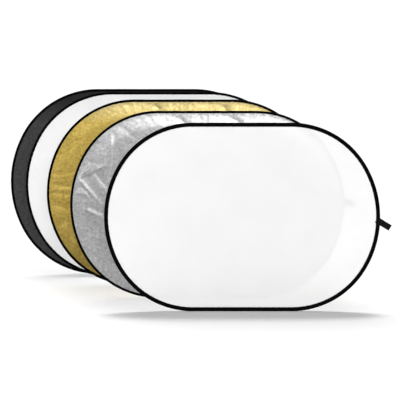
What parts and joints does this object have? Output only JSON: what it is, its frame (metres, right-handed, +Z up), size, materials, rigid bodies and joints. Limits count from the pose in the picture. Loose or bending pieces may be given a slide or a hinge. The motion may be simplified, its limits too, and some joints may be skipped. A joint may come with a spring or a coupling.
{
  "type": "collapsible reflector disc",
  "caption": "Sprung oval reflector discs with black bound rims and pull tabs, standing one behind another: diffuser, silver, gold, white and black; wings fold on the middle.",
  "frame": {"origin": "middle of the front disc's standing edge: where the mid-plane of its straight lower run meets the floor", "axes": "+X along the discs' 889 mm long axis towards the pull tabs, +Y from the front disc towards the rear ones, +Z up across their 610 mm height"},
  "size_m": [1.2383, 1.115, 0.61],
  "materials": {
    "diffuser_fabric": "translucent white diffusion fabric",
    "silver_fabric": "crinkled metallised silver foil fabric",
    "gold_fabric": "satin metallised gold fabric",
    "white_fabric": "matt white coated fabric",
    "black_fabric": "matt black woven fabric",
    "binding_tape": "black grosgrain tape, faint sheen",
    "tab_webbing": "black ribbed webbing",
    "spring_steel": "flat spring-steel band",
    "ferrule_steel": "crimped zinc-plated steel"
  },
  "bodies": {
    "front_centre": {"front_edge_binding_centre": "binding_tape", "front_fabric_centre": "diffuser_fabric", "front_spring_hoop_centre": "spring_steel", "front_ferrule": "ferrule_steel"},
    "front_left_wing": {"front_edge_binding_left": "binding_tape", "front_fabric_left": "diffuser_fabric", "front_spring_hoop_left": "spring_steel"},
    "front_right_wing": {"front_edge_binding_right": "binding_tape", "front_fabric_right": "diffuser_fabric", "front_spring_hoop_right": "spring_steel", "front_tab_legs": "tab_webbing"},
    "front_tab": {"front_tab_tail": "tab_webbing"},
    "silver_centre": {"silver_edge_binding_centre": "binding_tape", "silver_fabric_centre": "silver_fabric", "silver_spring_hoop_centre": "spring_steel", "silver_ferrule": "ferrule_steel"},
    "silver_left_wing": {"silver_edge_binding_left": "binding_tape", "silver_fabric_left": "silver_fabric", "silver_spring_hoop_left": "spring_steel"},
    "silver_right_wing": {"silver_edge_binding_right": "binding_tape", "silver_fabric_right": "silver_fabric", "silver_spring_hoop_right": "spring_steel", "silver_tab_legs": "tab_webbing"},
    "silver_tab": {"silver_tab_tail": "tab_webbing"},
    "gold_centre": {"gold_edge_binding_centre": "binding_tape", "gold_fabric_centre": "gold_fabric", "gold_spring_hoop_centre": "spring_steel", "gold_ferrule": "ferrule_steel"},
    "gold_left_wing": {"gold_edge_binding_left": "binding_tape", "gold_fabric_left": "gold_fabric", "gold_spring_hoop_left": "spring_steel"},
    "gold_right_wing": {"gold_edge_binding_right": "binding_tape", "gold_fabric_right": "gold_fabric", "gold_spring_hoop_right": "spring_steel", "gold_tab_legs": "tab_webbing"},
    "gold_tab": {"gold_tab_tail": "tab_webbing"},
    "white_centre": {"white_edge_binding_centre": "binding_tape", "white_fabric_centre": "white_fabric", "white_spring_hoop_centre": "spring_steel", "white_ferrule": "ferrule_steel"},
    "white_left_wing": {"white_edge_binding_left": "binding_tape", "white_fabric_left": "white_fabric", "white_spring_hoop_left": "spring_steel"},
    "white_right_wing": {"white_edge_binding_right": "binding_tape", "white_fabric_right": "white_fabric", "white_spring_hoop_right": "spring_steel", "white_tab_legs": "tab_webbing"},
    "white_tab": {"white_tab_tail": "tab_webbing"},
    "black_centre": {"black_edge_binding_centre": "binding_tape", "black_fabric_centre": "black_fabric", "black_spring_hoop_centre": "spring_steel", "black_ferrule": "ferrule_steel"},
    "black_left_wing": {"black_edge_binding_left": "binding_tape", "black_fabric_left": "black_fabric", "black_spring_hoop_left": "spring_steel"},
    "black_right_wing": {"black_edge_binding_right": "binding_tape", "black_fabric_right": "black_fabric", "black_spring_hoop_right": "spring_steel", "black_tab_legs": "tab_webbing"},
    "black_tab": {"black_tab_tail": "tab_webbing"}
  },
  "joints": [
    {"name": "front_right_fold", "type": "hinge", "parent": "front_centre", "child": "front_right_wing", "pos_m": [0.255, -0.0038, 0.305], "axis": [0, 0, -1], "range_deg": [0, 170], "stiffness_Nm_per_rad": 0.6},
    {"name": "front_left_fold", "type": "hinge", "parent": "front_centre", "child": "front_left_wing", "pos_m": [-0.255, -0.0038, 0.305], "axis": [0, 0, 1], "range_deg": [0, 170], "stiffness_Nm_per_rad": 0.6},
    {"name": "front_tab_flex", "type": "hinge", "parent": "front_right_wing", "child": "front_tab", "pos_m": [0.4592, 0, 0.27993], "axis": [0.515, 0, 0.8572], "range_deg": [-70, 70], "stiffness_Nm_per_rad": 0.004},
    {"name": "silver_slide", "type": "slide", "parent": "front_centre", "child": "silver_centre", "axis": [-0.289, 0.9573, 0], "range_m": [-0.38754, 0]},
    {"name": "silver_right_fold", "type": "hinge", "parent": "silver_centre", "child": "silver_right_wing", "pos_m": [0.143, 0.3812, 0.305], "axis": [0, 0, -1], "range_deg": [0, 170], "stiffness_Nm_per_rad": 0.6},
    {"name": "silver_left_fold", "type": "hinge", "parent": "silver_centre", "child": "silver_left_wing", "pos_m": [-0.367, 0.3812, 0.305], "axis": [0, 0, 1], "range_deg": [0, 170], "stiffness_Nm_per_rad": 0.6},
    {"name": "silver_tab_flex", "type": "hinge", "parent": "silver_right_wing", "child": "silver_tab", "pos_m": [0.34935, 0.385, 0.31045], "axis": [0.2588, 0, 0.9659], "range_deg": [-70, 70], "stiffness_Nm_per_rad": 0.004},
    {"name": "gold_slide", "type": "slide", "parent": "silver_centre", "child": "gold_centre", "axis": [-0.2161, 0.9764, 0], "range_m": [-0.36564, 0]},
    {"name": "gold_right_fold", "type": "hinge", "parent": "gold_centre", "child": "gold_right_wing", "pos_m": [0.064, 0.7522, 0.305], "axis": [0, 0, -1], "range_deg": [0, 170], "stiffness_Nm_per_rad": 0.6},
    {"name": "gold_left_fold", "type": "hinge", "parent": "gold_centre", "child": "gold_left_wing", "pos_m": [-0.446, 0.7522, 0.305], "axis": [0, 0, 1], "range_deg": [0, 170], "stiffness_Nm_per_rad": 0.6},
    {"name": "gold_tab_flex", "type": "hinge", "parent": "gold_right_wing", "child": "gold_tab", "pos_m": [0.27021, 0.756, 0.30356], "axis": [0.309, 0, 0.9511], "range_deg": [-70, 70], "stiffness_Nm_per_rad": 0.004},
    {"name": "white_slide", "type": "slide", "parent": "gold_centre", "child": "white_centre", "axis": [-0.2881, 0.9576, 0], "range_m": [-0.24645, 0]},
    {"name": "white_right_fold", "type": "hinge", "parent": "white_centre", "child": "white_right_wing", "pos_m": [-0.007, 1.0022, 0.305], "axis": [0, 0, -1], "range_deg": [0, 170], "stiffness_Nm_per_rad": 0.6},
    {"name": "white_left_fold", "type": "hinge", "parent": "white_centre", "child": "white_left_wing", "pos_m": [-0.517, 1.0022, 0.305], "axis": [0, 0, 1], "range_deg": [0, 170], "stiffness_Nm_per_rad": 0.6},
    {"name": "white_tab_flex", "type": "hinge", "parent": "white_right_wing", "child": "white_tab", "pos_m": [0.19942, 1.006, 0.30015], "axis": [0.2756, 0, 0.9613], "range_deg": [-70, 70], "stiffness_Nm_per_rad": 0.004},
    {"name": "black_slide", "type": "slide", "parent": "white_centre", "child": "black_centre", "axis": [-0.507, 0.8619, 0], "range_m": [-0.09861, 0]},
    {"name": "black_right_fold", "type": "hinge", "parent": "black_centre", "child": "black_right_wing", "pos_m": [-0.057, 1.1088, 0.305], "axis": [0, 0, 1], "range_deg": [0, 170], "stiffness_Nm_per_rad": 0.6},
    {"name": "black_left_fold", "type": "hinge", "parent": "black_centre", "child": "black_left_wing", "pos_m": [-0.567, 1.1088, 0.305], "axis": [0, 0, -1], "range_deg": [0, 170], "stiffness_Nm_per_rad": 0.6},
    {"name": "black_tab_flex", "type": "hinge", "parent": "black_right_wing", "child": "black_tab", "pos_m": [0.14898, 1.105, 0.30498], "axis": [-0.342, 0, -0.9397], "range_deg": [-70, 70], "stiffness_Nm_per_rad": 0.004}
  ],
  "couplings": [
    {"joint": "front_left_fold", "follows": "front_right_fold", "ratio": 1},
    {"joint": "silver_left_fold", "follows": "silver_right_fold", "ratio": 1},
    {"joint": "gold_left_fold", "follows": "gold_right_fold", "ratio": 1},
    {"joint": "white_left_fold", "follows": "white_right_fold", "ratio": 1},
    {"joint": "black_left_fold", "follows": "black_right_fold", "ratio": 1}
  ]
}
